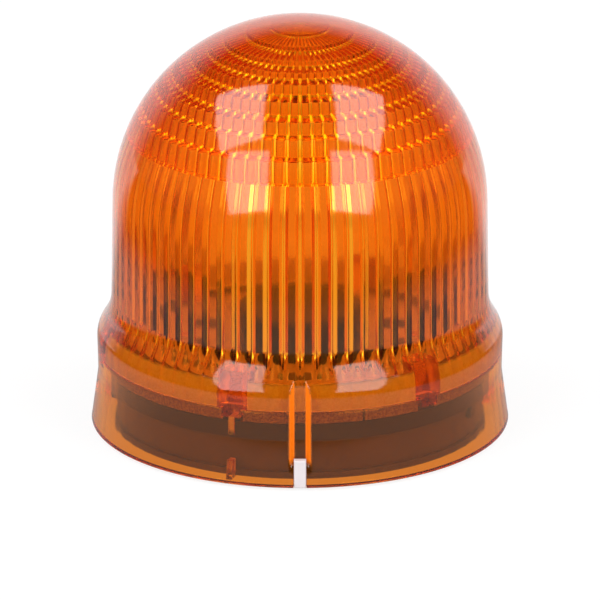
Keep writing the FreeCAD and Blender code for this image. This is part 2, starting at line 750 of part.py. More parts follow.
# Supply terminal, hung under the board: a housing with two poles, each with a contact bar, a rising
# clamp and its screw, whose head faces down
housing_place = below(0, number("terminal_y"), "0")
housing_blank = block("terminal_blank", housing_place, "terminal_wide", "terminal_deep", "terminal_tall")
housing_blank = soften("terminal_soft", housing_blank, "body_edge", upright)
tools = []
bars = []
for side, name in ((-1, "left"), (1, "right")):
    x = side * number("pole_pitch") / 2
    y = number("terminal_y")
    pocket = below(x, y, "pocket_low")
    tools.append(block(f"pocket_{name}", pocket, "pocket_wide", "pocket_deep", "pocket_tall"))
    web = below(x, y, "pocket_low + pocket_tall")
    tools.append(rod(f"web_hole_{name}", web, "web_hole_radius", "terminal_tall"))
    well = below(x, y, "terminal_tall - well_deep")
    tools.append(rod(f"screw_well_{name}", well, "well_radius", "well_deep"))
    front = below(x, y - number("terminal_deep") / 2, "entry_low")
    tools.append(block(f"wire_entry_{name}", front, "entry_wide", "terminal_deep / 2", "entry_tall"))
    slot = below(x, leg_y, "0 - leg_through")
    leg_tall = "leg_through + bar_low + bar_thick"
    tools.append(block(f"leg_slot_{name}", slot, "bar_wide + 2 * leg_play", "leg_deep + 4 * leg_play",
                       f"{leg_tall} + leg_play"))
    bar = block(f"bar_{name}", below(x, y, "bar_low"), "bar_wide", "bar_deep", "bar_thick")
    bar_slot = below(x, y, "bar_low - leg_play")
    tools.append(block(f"bar_slot_{name}", bar_slot, "bar_wide + 2 * leg_play", "bar_deep + 2 * leg_play",
                       "bar_thick + 2 * leg_play"))
    leg = block(f"leg_{name}", slot, "leg_wide", "leg_deep", leg_tall)
    bars.append(fuse(f"contact_bar_{name}", [bar, leg]))

    clamp_place = below(x, y, "clamp_low")
    clamp = block(f"clamp_blank_{name}", clamp_place, "clamp_wide", "clamp_deep", "clamp_tall")
    window_place = shifted(clamp_place, 0, 0, number("window_low"))
    window = block(f"clamp_window_{name}", window_place, "window_wide", "clamp_deep", "window_tall")
    thread_hole = rod(f"clamp_hole_{name}", below(x, y, "bar_low"), "thread_hole_radius", "clamp_tall")
    nodes[f"wire_clamp_{name}"] = cut(f"wire_clamp_{name}", clamp, [window, thread_hole])

    thread = rod(f"thread_{name}", below(x, y, "thread_low"), "thread_radius", "thread_long")
    head_drop = "thread_low + thread_long"
    head = rod(f"screw_head_{name}", below(x, y, head_drop), "screw_head_radius", "screw_head_tall")
    slot_place = below(x, y, f"{head_drop} + screw_head_tall - slot_deep")
    screw_slot = block(f"screw_slot_{name}", slot_place, "2 * screw_head_radius", "slot_wide", "slot_deep")
    screw_blank = fuse(f"screw_blank_{name}", [thread, head])
    nodes[f"terminal_screw_{name}"] = cut(f"terminal_screw_{name}", screw_blank, [screw_slot])
nodes["terminal_block"] = cut("terminal_block", housing_blank, tools)
group("contact_bars", bars)

# Smoothing capacitor: an aluminium can with a rolled groove on a square plastic base
can_foot = at(number("can_x"), number("can_y"), board_top)
can_base = block("can_base_block", can_foot, "can_base_side", "can_base_side", "can_base_tall")
nodes["capacitor_base"] = soften("capacitor_base", can_base, "can_base_round", upright)
can_place = shifted(can_foot, 0, 0, number("can_base_tall"))
can = rod("can_blank", can_place, "can_radius", "can_tall")
can = soften("can_soft", can, "can_round", far_end(can_place, "can_tall"))
groove_place = shifted(can_place, 0, 0, number("can_groove_height"))
can_groove = primitive("Torus", "can_groove", groove_place, Radius1="can_radius", Radius2="can_groove_radius")
nodes["capacitor_can"] = cut("capacitor_can", can, [can_groove])

# Choke: a square ferrite block with rounded corners and a dished top
choke_place = at(number("choke_x"), number("choke_y"), board_top)
choke = block("choke_block", choke_place, "choke_side", "choke_side", "choke_tall")
choke = soften("choke_soft", choke, "choke_round", upright)
dish_place = shifted(choke_place, 0, 0, number("choke_tall - choke_dish_deep"))
choke_dish = rod("choke_dish", dish_place, "choke_dish_radius", "choke_dish_deep")
nodes["choke_coil"] = cut("choke_coil", choke, [choke_dish])


def leaded_body(name, leads_name, place, length, width, lead_pitch, leads_a_side):
    """A moulded body with bevelled long edges, and rows of bent leads along both long sides."""
    body = block(f"{name}_block", place, length, width, "chip_tall")
    nodes[name] = soften(name, body, "body_edge", far_end(place, "chip_tall"))
    leads = []
    for side in (-1, 1):
        for index in range(leads_a_side):
            along = (index - (leads_a_side - 1) / 2) * number(lead_pitch)
            foot_y = side * number(f"{width} / 2 + lead_foot / 2")
            riser_y = side * number(f"{width} / 2 + lead_thick / 2")
            label = f"{name}_lead_{'a' if side < 0 else 'b'}{index}"
            foot_place = shifted(place, along, foot_y, 0)
            foot = block(f"{label}_foot", foot_place, "lead_wide", "lead_foot", "lead_thick")
            riser_place = shifted(place, along, riser_y, 0)
            riser = block(f"{label}_riser", riser_place, "lead_wide", "lead_thick", "lead_tall")
            leads.append(fuse(label, [foot, riser]))
    group(leads_name, leads)


# Driver chip under the cover and bridge rectifier under the board, with their leads
chip_place = at(number("chip_x"), number("chip_y"), board_top)
leaded_body("driver_chip", "chip_leads", chip_place, "chip_long", "chip_wide", "chip_lead_pitch", 4)
rectifier_place = below(number("rectifier_x"), number("rectifier_y"), "0")
leaded_body("bridge_rectifier", "rectifier_leads", rectifier_place,
            "rectifier_long", "rectifier_wide", "rectifier_lead_pitch", 2)

# Surge absorber: a coated disc on edge, hung on two wires under the board
surge_foot = below(number("surge_x"), number("surge_y"), "0")
disc_place = shifted(surge_foot, -number("surge_thick") / 2, 0, number("surge_lift + surge_radius"))
disc_place.Rotation = FreeCAD.Rotation(FreeCAD.Vector(0, 1, 0), 90)
disc = rod("surge_disc", disc_place, "surge_radius", "surge_thick")
disc = soften("surge_soft", disc, "surge_edge", lambda edge: edge.Curve.TypeId == "Part::GeomCircle")
wires = []
for side, name in ((-1, "surge_wire_a"), (1, "surge_wire_b")):
    wire_place = shifted(surge_foot, 0, side * number("surge_wire_pitch") / 2, 0)
    wires.append(rod(name, wire_place, "surge_wire_radius", "surge_lift + surge_radius"))
nodes["surge_absorber"] = fuse("surge_absorber", [disc, *wires])

# Fuse link under the board, and the chip resistors beside the pairs of diodes
fuse_place = below(number("fuse_x"), number("fuse_y"), "0")
fuse_body = block("fuse_block", fuse_place, "fuse_side", "fuse_long", "fuse_side")
fuse_half = number("fuse_long / 2")
nodes["fuse_link"] = soften(
    "fuse_link", fuse_body, "fuse_edge", lambda edge: edge.BoundBox.YLength > fuse_half)
group("chip_resistors", [
    block(f"resistor_{bearing}", polar("resistor_circle", bearing, board_top),
          "resistor_wide", "resistor_long", "resistor_tall")
    for bearing in RESISTOR_BEARINGS
])

doc.recompute()
SMALLEST_CHANGE = 1e-4
CUTTERS = ("PartDesign::Pocket", "PartDesign::SubtractiveWedge", "PartDesign::SubtractiveBox")
for item in doc.Objects:
    if "Invalid" in item.State or "Error" in item.State:
        raise RuntimeError(f"{item.Name} did not build: {item.State}")
    if item.TypeId in CUTTERS and item.Shape.Volume > item.BaseFeature.Shape.Volume - SMALLEST_CHANGE:
        raise RuntimeError(f"{item.Name} cuts nothing")
for name, node in nodes.items():
    if node.Shape.isNull() or not node.Shape.isValid():
        raise RuntimeError(f"{name} has no valid shape")
os.makedirs("parts", exist_ok=True)
for name, node in nodes.items():
    node.Label = name
    node.Shape.exportStep(f"parts/{name}.step")
    print(name, len(node.Shape.Solids), "solids", round(node.Shape.Volume, 1), "mm3")
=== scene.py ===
import bpy
import numpy as np
from mathutils import Matrix, Vector


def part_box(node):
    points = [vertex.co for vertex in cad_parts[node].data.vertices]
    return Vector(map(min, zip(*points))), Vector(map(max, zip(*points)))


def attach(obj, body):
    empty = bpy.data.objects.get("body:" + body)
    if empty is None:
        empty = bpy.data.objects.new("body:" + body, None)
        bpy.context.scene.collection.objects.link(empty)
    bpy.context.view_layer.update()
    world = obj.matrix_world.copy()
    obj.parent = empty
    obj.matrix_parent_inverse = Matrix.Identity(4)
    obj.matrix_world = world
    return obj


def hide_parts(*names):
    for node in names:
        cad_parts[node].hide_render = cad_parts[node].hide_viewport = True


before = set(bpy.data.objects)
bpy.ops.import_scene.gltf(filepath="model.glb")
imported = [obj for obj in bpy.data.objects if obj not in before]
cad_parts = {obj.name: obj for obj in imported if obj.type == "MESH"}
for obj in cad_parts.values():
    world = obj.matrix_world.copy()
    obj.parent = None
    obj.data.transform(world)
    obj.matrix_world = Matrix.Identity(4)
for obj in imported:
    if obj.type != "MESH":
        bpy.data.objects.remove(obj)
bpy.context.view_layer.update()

# Base seal and cable grommet: black EPDM rubber, compression moulded.
# The seal lies in a groove under the cup, and the grommet snaps into the hole in the cup's floor.
MM = 0.001


def linear(code):
    """Linear colour of an sRGB hex code: the sRGB curve undone channel by channel, with full alpha."""
    channels = np.array([int(code[place:place + 2], 16) for place in (1, 3, 5)]) / 255
    curved = ((channels + 0.055) / 1.055) ** 2.4
    return (*np.where(channels > 0.04045, curved, channels / 12.92), 1.0)


def feed(node, inputs):
    """Gives each named socket of a node a value, or a link from another node's output."""
    for socket, value in inputs.items():
        if isinstance(value, bpy.types.NodeSocket):
            node.id_data.links.new(value, node.inputs[socket])
        else:
            node.inputs[socket].default_value = value


def add(tree, kind, inputs, **settings):
    """Adds a node of a kind to a tree, with its settings and its inputs."""
    node = tree.nodes.new("ShaderNode" + kind)
    for setting, value in settings.items():
        setattr(node, setting, value)
    feed(node, inputs)
    return node


def finish(name, inputs):
    """A new material of one Principled shader with those inputs; its tree, shader and object coordinates."""
    material = bpy.data.materials.new(name)
    material.use_nodes = True
    tree = material.node_tree
    shader = tree.nodes["Principled BSDF"]
    feed(shader, inputs)
    place = add(tree, "TexCoord", {}).outputs["Object"]
    return material, tree, shader, place


def wear_finish(name, colours, roughness, grain, relief, inputs):
    """A finish whose colour and roughness drift between two values, on a fine grain.

    Colour and roughness follow one slow noise, in patches of ten grains. The bump follows a fast noise of the
    grain's size and the relief's height, both in metres.
    """
    material, tree, shader, place = finish(name, inputs)
    drift = add(tree, "TexNoise", {"Vector": place, "Scale": 0.1 / grain, "Detail": 4.0})
    colour = add(tree, "MixRGB", {"Fac": drift.outputs["Fac"], "Color1": linear(colours[0]),
                                  "Color2": linear(colours[1])})
    spread = add(tree, "MapRange", {"Value": drift.outputs["Fac"], "To Min": roughness[0],
                                    "To Max": roughness[1]})
    speck = add(tree, "TexNoise", {"Vector": place, "Scale": 1 / grain, "Detail": 2.0})
    bump = add(tree, "Bump", {"Height": speck.outputs["Fac"], "Distance": relief})
    feed(shader, {"Base Color": colour.outputs["Color"], "Roughness": spread.outputs["Result"],
                  "Normal": bump.outputs["Normal"]})
    return material


def dress(material, *names):
    """Puts a material on CAD nodes."""
    for name in names:
        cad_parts[name].data.materials.clear()
        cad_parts[name].data.materials.append(material)


# Dull and nearly black, with the faint grey bloom that comes out of the rubber
rubber = wear_finish("epdm_rubber_moulded", ("#1B1B1C", "#262625"), (0.68, 0.85), 0.35 * MM, 0.012 * MM,
                     {"IOR": 1.52, "Specular IOR Level": 0.35})
dress(rubber, "base_seal", "cable_grommet")

# Base cup and bayonet ring: black ABS, injection moulded in spark-eroded tools.
# Three screws hold the ring down on the cup's bosses.

# The eroded tool leaves an even satin grain, and handling polishes it in patches
ring_abs = wear_finish("black_abs_spark_eroded", ("#161617", "#1F1F20"), (0.38, 0.5), 0.3 * MM, 0.01 * MM,
                       {"IOR": 1.54})
dress(ring_abs, "bayonet_ring")
# The cup is a shade greyer, with a coarser grain
cup_abs = wear_finish("charcoal_abs_spark_eroded", ("#544F4D", "#5F5A58"), (0.5, 0.62), 0.4 * MM,
                      0.014 * MM, {"IOR": 1.54})
dress(cup_abs, "base_cup")

# Light board: a 1.6 mm laminate of glass cloth and epoxy, routed round and coated with white solder mask.
# Three screws hold it on the cup's posts, through tinned pads.
screw_circle = 19.5 * MM
pad_radius = 3.0 * MM
edge_lean = 0.5
track_pitch = 2.4 * MM
via_pitch = 3.2 * MM
via_share = 0.1
board_mask, board_tree, board_shader, board_place = finish(
    "white_solder_mask", {"IOR": 1.55, "Coat Weight": 0.2, "Coat Roughness": 0.2})


def maths(tree, operation, *numbers):
    """The result of a sum on up to three numbers or outputs."""
    return add(tree, "Math", dict(enumerate(numbers)), operation=operation).outputs[0]


# The mask is a warm white that throws the light back up, a shade darker in the gaps between the tracks that
# stand out under it, and the routed edges show the straw colour of the laminate
facing = add(board_tree, "SeparateXYZ", {"Vector": add(board_tree, "NewGeometry", {}).outputs["Normal"]})
edge = maths(board_tree, "LESS_THAN", maths(board_tree, "ABSOLUTE", facing.outputs["Z"]), edge_lean)
across = add(board_tree, "SeparateXYZ", {"Vector": board_place})
reach = maths(board_tree, "SQRT", maths(
    board_tree, "ADD", maths(board_tree, "MULTIPLY", across.outputs["X"], across.outputs["X"]),
    maths(board_tree, "MULTIPLY", across.outputs["Y"], across.outputs["Y"])))
bearing = maths(board_tree, "ARCTAN2", across.outputs["X"], across.outputs["Y"])
third = 2 * np.pi / 3
folded = maths(board_tree, "WRAP", bearing, third / 2, -third / 2)
pad_along = maths(board_tree, "SUBTRACT", maths(
    board_tree, "MULTIPLY", reach, maths(board_tree, "COSINE", folded)), screw_circle)
pad_across = maths(board_tree, "MULTIPLY", reach, maths(board_tree, "SINE", folded))
pad_reach = maths(board_tree, "SQRT", maths(
    board_tree, "ADD", maths(board_tree, "MULTIPLY", pad_along, pad_along),
    maths(board_tree, "MULTIPLY", pad_across, pad_across)))
pad = maths(board_tree, "LESS_THAN", pad_reach, pad_radius)
tracks = add(board_tree, "TexBrick", {"Vector": board_place, "Scale": 1 / track_pitch, "Mortar Size": 0.09,
                                      "Mortar Smooth": 0.1, "Brick Width": 2.6, "Row Height": 0.5})
vias = add(board_tree, "TexVoronoi", {"Vector": board_place, "Scale": 1 / via_pitch},
           voronoi_dimensions="2D")
via = maths(board_tree, "LESS_THAN", vias.outputs["Distance"], via_share)
tinned = maths(board_tree, "MAXIMUM", pad, via)
mask_colour = add(board_tree, "MixRGB", {"Fac": tracks.outputs["Fac"], "Color1": linear("#EDEAE2"),
                                         "Color2": linear("#DAD6CA")})
tin_colour = add(board_tree, "MixRGB", {"Fac": tinned, "Color1": mask_colour.outputs["Color"],
                                        "Color2": linear("#C9C8C2")})
edge_colour = add(board_tree, "MixRGB", {"Fac": edge, "Color1": tin_colour.outputs["Color"],
                                         "Color2": linear("#B7AE82")})
track_step = add(board_tree, "Bump", {"Height": tracks.outputs["Fac"], "Distance": -0.035 * MM})
board_spread = add(board_tree, "MapRange", {"Value": tinned, "To Min": 0.34, "To Max": 0.42})
feed(board_shader, {
    "Base Color": edge_colour.outputs["Color"], "Metallic": tinned, "Normal": track_step.outputs["Normal"],
    "Roughness": board_spread.outputs["Result"]})
dress(board_mask, "circuit_board")

# Driver cover: a cap of black ABS, injection moulded with a polished face.
# It stands on the middle of the board, over the driver chip, the choke and the capacitor.

# A polished tool gives a deep black with clear reflections and a few dull patches
cover_abs = wear_finish("black_abs_polished", ("#0B0B0C", "#121213"), (0.16, 0.3), 0.5 * MM, 0.004 * MM,
                        {"IOR": 1.54})
dress(cover_abs, "driver_cover")

# Screws: steel, cold headed and zinc plated.
# Three fix the ring and three the board; two more clamp the wires in the terminal.

# Plating follows the drawn steel under it and has a slight yellow and blue drift
zinc = wear_finish("zinc_plated_steel", ("#B9B8B2", "#A3A9AE"), (0.26, 0.4), 0.25 * MM, 0.006 * MM,
                   {"Metallic": 1.0})
dress(zinc, "ring_screws", "board_screws", "terminal_screw_left", "terminal_screw_right")

# Light diodes: housings moulded in white PPA, each with a well of clear silicone over its chip.
# They are soldered to the board in three groups of two pairs.

# The housing is a dull white that scatters a little light
housing_scatter = (0.4 * MM, 0.4 * MM, 0.4 * MM)
housing_white = wear_finish("white_ppa_moulded", ("#EDEBE4", "#E2DFD6"), (0.5, 0.62), 0.2 * MM, 0.004 * MM,
                            {"IOR": 1.55, "Subsurface Weight": 0.08, "Subsurface Radius": housing_scatter})
dress(housing_white, "led_packages")
# The gel is wet-looking and tinted straw by what lies under it
gel = wear_finish("silicone_gel_fill", ("#D8A636", "#C8922A"), (0.08, 0.16), 0.4 * MM, 0.004 * MM,
                  {"IOR": 1.43, "Coat Weight": 0.6, "Coat Roughness": 0.05})
dress(gel, "led_lenses")

# Supply terminal: a grey nylon housing with two poles, hung under the board by the legs of its contact bars.
# In each pole, a cage clamp of tinned brass is drawn along by its screw and grips the wire against the bar.

# Glass-filled nylon comes out of the tool matt, with a faint flow pattern
nylon_grey = wear_finish("glass_filled_nylon", ("#34373A", "#3D4043"), (0.48, 0.6), 0.25 * MM, 0.01 * MM,
                         {"IOR": 1.53})
dress(nylon_grey, "terminal_block")
# Tin is pale and slightly yellow, with soft reflections
tin = wear_finish("tinned_brass", ("#C8C3B4", "#B7B3A8"), (0.3, 0.44), 0.2 * MM, 0.005 * MM,
                  {"Metallic": 1.0})
dress(tin, "contact_bars", "wire_clamp_left", "wire_clamp_right", "chip_leads", "rectifier_leads")

# Diodes' supply: driver chip and rectifier in black moulding compound, a smoothing capacitor on its plastic
# base, a ferrite choke, a surge absorber, a fuse link and chip resistors, all soldered to the board.

# Moulding compound is charcoal and matt, with the grain of its filler
compound = wear_finish("epoxy_moulding_compound", ("#1E1E20", "#29292B"), (0.55, 0.7), 0.18 * MM,
                       0.008 * MM, {"IOR": 1.57})
dress(compound, "driver_chip", "bridge_rectifier", "capacitor_base")
# Drawn aluminium shows fine rings round the can
can_aluminium, can_tree, can_shader, can_place = finish(
    "drawn_aluminium", {"Metallic": 1.0, "Base Color": linear("#C6C8CA"), "Anisotropic": 0.4})
draw_lines = add(can_tree, "TexNoise", {"Detail": 3.0, "Scale": 1.0, "Vector": add(
    can_tree, "Mapping", {"Vector": can_place, "Scale": (150.0, 150.0, 9000.0)}).outputs["Vector"]})
draw_spread = add(can_tree, "MapRange", {"Value": draw_lines.outputs["Fac"], "To Min": 0.22, "To Max": 0.4})
draw_bump = add(can_tree, "Bump", {"Height": draw_lines.outputs["Fac"], "Distance": 0.006 * MM})
feed(can_shader, {"Roughness": draw_spread.outputs["Result"], "Normal": draw_bump.outputs["Normal"]})
dress(can_aluminium, "capacitor_can")
# Pressed ferrite powder is dark grey, hard and faintly metallic
ferrite = wear_finish("pressed_ferrite", ("#2C2B2C", "#3A3838"), (0.45, 0.62), 0.22 * MM, 0.014 * MM,
                      {"IOR": 2.2})
dress(ferrite, "choke_coil")
# Dipped epoxy is glossy and a little uneven
dipped = wear_finish("dipped_blue_epoxy", ("#20466F", "#2B557F"), (0.18, 0.28), 0.6 * MM, 0.03 * MM,
                     {"IOR": 1.55})
dress(dipped, "surge_absorber")
# The fuse is glazed ceramic between tinned caps
cap_share = 0.34
glaze_size = 0.5 * MM
fuse_low, fuse_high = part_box("fuse_link")
ceramic, ceramic_tree, ceramic_shader, ceramic_place = finish("glazed_ceramic_with_caps", {"IOR": 1.6})
fuse_along = add(ceramic_tree, "SeparateXYZ", {"Vector": ceramic_place}).outputs["Y"]
from_middle = maths(ceramic_tree, "ABSOLUTE", maths(ceramic_tree, "SUBTRACT", fuse_along,
                                                    (fuse_low.y + fuse_high.y) / 2))
cap = maths(ceramic_tree, "GREATER_THAN", from_middle, cap_share * (fuse_high.y - fuse_low.y))
glaze = add(ceramic_tree, "TexNoise", {"Vector": ceramic_place, "Scale": 1 / glaze_size})
glaze_colour = add(ceramic_tree, "MixRGB", {"Fac": glaze.outputs["Fac"], "Color1": linear("#E6E2D8"),
                                            "Color2": linear("#D6D1C4")})
cap_colour = add(ceramic_tree, "MixRGB", {"Fac": cap, "Color1": glaze_colour.outputs["Color"],
                                          "Color2": linear("#C4C2BA")})
glaze_spread = add(ceramic_tree, "MapRange", {"Value": glaze.outputs["Fac"], "To Min": 0.22, "To Max": 0.36})
feed(ceramic_shader, {"Base Color": cap_colour.outputs["Color"], "Metallic": cap,
                      "Roughness": glaze_spread.outputs["Result"]})
dress(ceramic, "fuse_link")
# Chip resistors are glazed black
resistor_glaze = wear_finish("black_resistor_glaze", ("#131315", "#202124"), (0.25, 0.4), 0.3 * MM,
                             0.006 * MM, {"IOR": 1.55})
dress(resistor_glaze, "chip_resistors")

# Gasket: a flat washer of closed-cell foam, die cut and laid on the bayonet ring with its ends butted.
# The dome's skirt comes down on it.
cell = 0.3 * MM
foam, foam_tree, foam_shader, foam_place = finish("closed_cell_foam_cut", {"IOR": 1.5,
                                                                           "Specular IOR Level": 0.25})
# Cut cells make a grainy face of pale walls in the foam's own colour and hollows darkened with painted shade,
# drawn larger than the real ones to show
cells = add(foam_tree, "TexVoronoi", {"Vector": foam_place, "Scale": 1 / cell})
hollow_shade = add(foam_tree, "MapRange", {"Value": cells.outputs["Distance"], "From Min": 0.2, "From Max": 0.7})
foam_colour = add(foam_tree, "MixRGB", {"Fac": hollow_shade.outputs["Result"], "Color1": linear("#6B6226"),
                                        "Color2": linear("#A89C44")})
foam_relief = add(foam_tree, "Bump", {"Height": cells.outputs["Distance"], "Distance": 0.12 * MM})
foam_spread = add(foam_tree, "MapRange", {"Value": cells.outputs["Distance"], "To Min": 0.75, "To Max": 0.95})
feed(foam_shader, {"Base Color": foam_colour.outputs["Color"], "Normal": foam_relief.outputs["Normal"],
                   "Roughness": foam_spread.outputs["Result"]})
dress(foam, "lens_gasket")

# Dome: amber polycarbonate, injection moulded in one piece with its collar. It is gloss outside. Inside,
# upright flutes and stepped prism rings spread the light, two bayonet lugs hold it on the ring and pillars
# stiffen the skirt.
dome_radius = 31.0 * MM
dome_centre = 38.0 * MM
cove_radius = 8.7 * MM
lip_radius = 33.72 * MM
lip_height = 15.0 * MM
lip_round = 4.4 * MM
flare_angle = 35.45
root_radius = lip_radius - (lip_round + cove_radius) * (1 - np.cos(np.radians(flare_angle)))
root_height = lip_height + (lip_round + cove_radius) * np.sin(np.radians(flare_angle))
waist_radius = 33.6 * MM
waist_height = 9.0 * MM
foot_radius = 34.8 * MM
foot_height = 0.4 * MM
foot_edge = 0.2 * MM
collar_wall = 1.65 * MM
skirt_height = 12.7 * MM
skirt_radius = 30.7 * MM
bore_cove = 10.8 * MM
bore_radius = 29.2 * MM
bevel = 0.1 * MM
tier_radii = np.array([27.0, 25.2, 23.2, 21.3, 18.7, 16.0, 13.9, 11.5, 8.05, 4.4, 1.2]) * MM
tier_heights = dome_centre + np.sqrt(bore_radius ** 2 - tier_radii ** 2)


def arc(radius, height, size, start, stop, count):
    """Rows of a profile on a circle: its middle's place, plus its size along each angle in degrees."""
    turn = np.radians(np.linspace(start, stop, count))
    return np.column_stack((radius + size * np.cos(turn), height + size * np.sin(turn)))


def rows(*points):
    """Rows of a profile through given points of radius and height."""
    return np.array(points)


def collar_line(height, top_radius):
    """The collar's radius at a height: straight from foot to waist, then to a radius at the lip."""
    heights = (foot_height, waist_height, lip_height)
    return np.interp(height, heights, (foot_radius, waist_radius, top_radius))


def bore_line(height):
    """The bore's radius at a height: upright, then out along a circle to the skirt's radius."""
    drop = np.clip(root_height - height, 0, bore_cove)
    return np.minimum(bore_radius + bore_cove - np.sqrt(bore_cove ** 2 - drop ** 2), skirt_radius)


# Bearings are radians from the front. The flutes have flat floors between pointed ribs, one rib at the front
flute_count = 72
flute_pitch = 2 * np.pi / flute_count
flute_deep = 0.8 * MM
flute_rib_half = 0.7 * MM
flute_rib_round = 0.06 * MM
flute_rib_full = 22.0 * MM
flute_rib_sunk = 18.5 * MM
flute_rib_share = 0.3
channel_floor = 0.95 * MM
channel_mouth = 1.9 * MM
channel_deep = 0.9 * MM
channel_low = 5.1 * MM
channel_high = 18.5 * MM
channel_edge = 0.05
notch_half = 1.05 * MM
notch_back = 33.6 * MM
lug_bearings = np.radians([90.0, 270.0])
lug_half = 1.6 * MM
lug_tip = 30.6 * MM
lug_low = 4.6 * MM
lug_high = 7.0 * MM
pillar_bearings = np.radians(np.arange(-20.0, 340.0, 60.0))
pillar_circle = 28.9 * MM
pillar_radius = 2.3 * MM
pillar_high = 18.3 * MM
tongue_half = 1.4 * MM
tongue_tip = 28.2 * MM
tongue_low = 11.2 * MM
rib_bearings = np.radians([-20.0, 100.0, 220.0])
rib_half = 0.45 * MM
rib_tall = 3.1 * MM
upper_rib_low = 8.1 * MM
upper_rib_tip = 31.5 * MM
lower_rib_low = 0.7 * MM
lower_rib_tip = 31.2 * MM
rib_dull = 0.9
pillar_dull = 0.25
skirt_dull = 0.8
step = 0.03 * MM
crease_angle = np.radians(47)

# Profile rows from the crown down the outside, round the foot and up the inside to the crown
outside = np.vstack((
    arc(0, dome_centre, dome_radius, 87, 0, 23),
    rows(((dome_radius + root_radius) / 2, (dome_centre + root_height) / 2)),
    arc(root_radius + cove_radius, root_height, cove_radius, 180, 180 + flare_angle, 10),
    arc(lip_radius - lip_round, lip_height, lip_round, flare_angle, 0, 7)[1:],
))
upper_heights = np.array([14, 12, 10, waist_height / MM, 8, 6.5]) * MM
lower_heights = np.array([4, 2.5, 1.2]) * MM
collar_heights = np.concatenate((upper_heights, [channel_low + step, channel_low], lower_heights))
outside = np.vstack((
    outside, np.column_stack((collar_line(collar_heights, lip_radius), collar_heights)),
    arc(foot_radius - foot_edge, foot_height + foot_edge, foot_edge, 0, -90, 4),
))
level_edges = np.array([lower_rib_low, lower_rib_low + rib_tall + step, lug_low, lug_high + step,
                        upper_rib_low, tongue_low])
inner_heights = np.sort(np.concatenate((
    level_edges - step, level_edges, np.array([0.55, 2.2, 9.6, 12.0]) * MM,
    [waist_height, skirt_height - bevel])))
foot_bevel = 0.15 * MM
inside = np.vstack((
    rows((foot_radius - collar_wall + foot_bevel, foot_height)),
    np.column_stack((collar_line(inner_heights, waist_radius) - collar_wall, inner_heights)),
    rows((waist_radius - collar_wall - bevel, skirt_height)),
))
wall_heights = np.concatenate((
    [skirt_height + step], np.array([15, 16.5, 17.2, 17.75]) * MM, [pillar_high, pillar_high + step],
    np.array([19.2, 20.2, 21.3, 22.1, 22.5, 30]) * MM, [dome_centre]))
wall = np.vstack((
    np.column_stack((bore_line(wall_heights), wall_heights)),
    arc(0, dome_centre, bore_radius, 4, np.degrees(np.arccos(tier_radii[0] / bore_radius)), 6),
))
# Each tread runs level from one ring to the next, and each riser between two treads has bevelled edges
risers = np.stack((
    np.column_stack((tier_radii[1:] + bevel, tier_heights[:-1])),
    np.column_stack((tier_radii[1:], tier_heights[:-1] + bevel)),
    np.column_stack((tier_radii[1:], tier_heights[1:] - bevel)),
    np.column_stack((tier_radii[1:] - bevel, tier_heights[1:])),
), axis=1).reshape(-1, 2)
profile = np.vstack((outside, inside, wall, risers))
outer_rows = len(outside)
flute_rows = outer_rows + len(inside)

# Columns: seven over each rib of the flutes, pairs at the sides of what stands out or is cut in, and more
# over the round pillars and across the channel
flute_rib_steps = np.array([-1, -0.35, -0.12, 0, 0.12, 0.35, 1])
columns = (np.arange(flute_count) * flute_pitch)[:, None] + flute_rib_half / bore_radius * flute_rib_steps


def sides(bearings, half, reach):
    """Columns at both sides of pieces of a half width on some bearings, and a step outside them."""
    pair = np.array([-half - step, -half, half, half + step]) / reach
    return (bearings[:, None] + pair).ravel()


pillar_round = pillar_radius / pillar_circle * np.sin(np.radians([-65, -25, 0, 25, 65]))
columns = np.concatenate((
    columns.ravel(), sides(lug_bearings, lug_half, lug_tip),
    sides(pillar_bearings, pillar_radius, pillar_circle), (pillar_bearings[:, None] + pillar_round).ravel(),
    sides(pillar_bearings, tongue_half, tongue_tip), sides(rib_bearings, rib_half, upper_rib_tip),
    sides(np.zeros(1), notch_half, foot_radius),
    np.linspace(-channel_mouth, channel_mouth, 15) / lip_radius))
columns = np.unique(np.round(columns % (2 * np.pi), 5))


def beside(bearings):
    """How far each column is from the nearest of some bearings, in radians."""
    apart = (columns[:, None] - bearings + np.pi) % (2 * np.pi) - np.pi
    return np.abs(apart).min(axis=1)


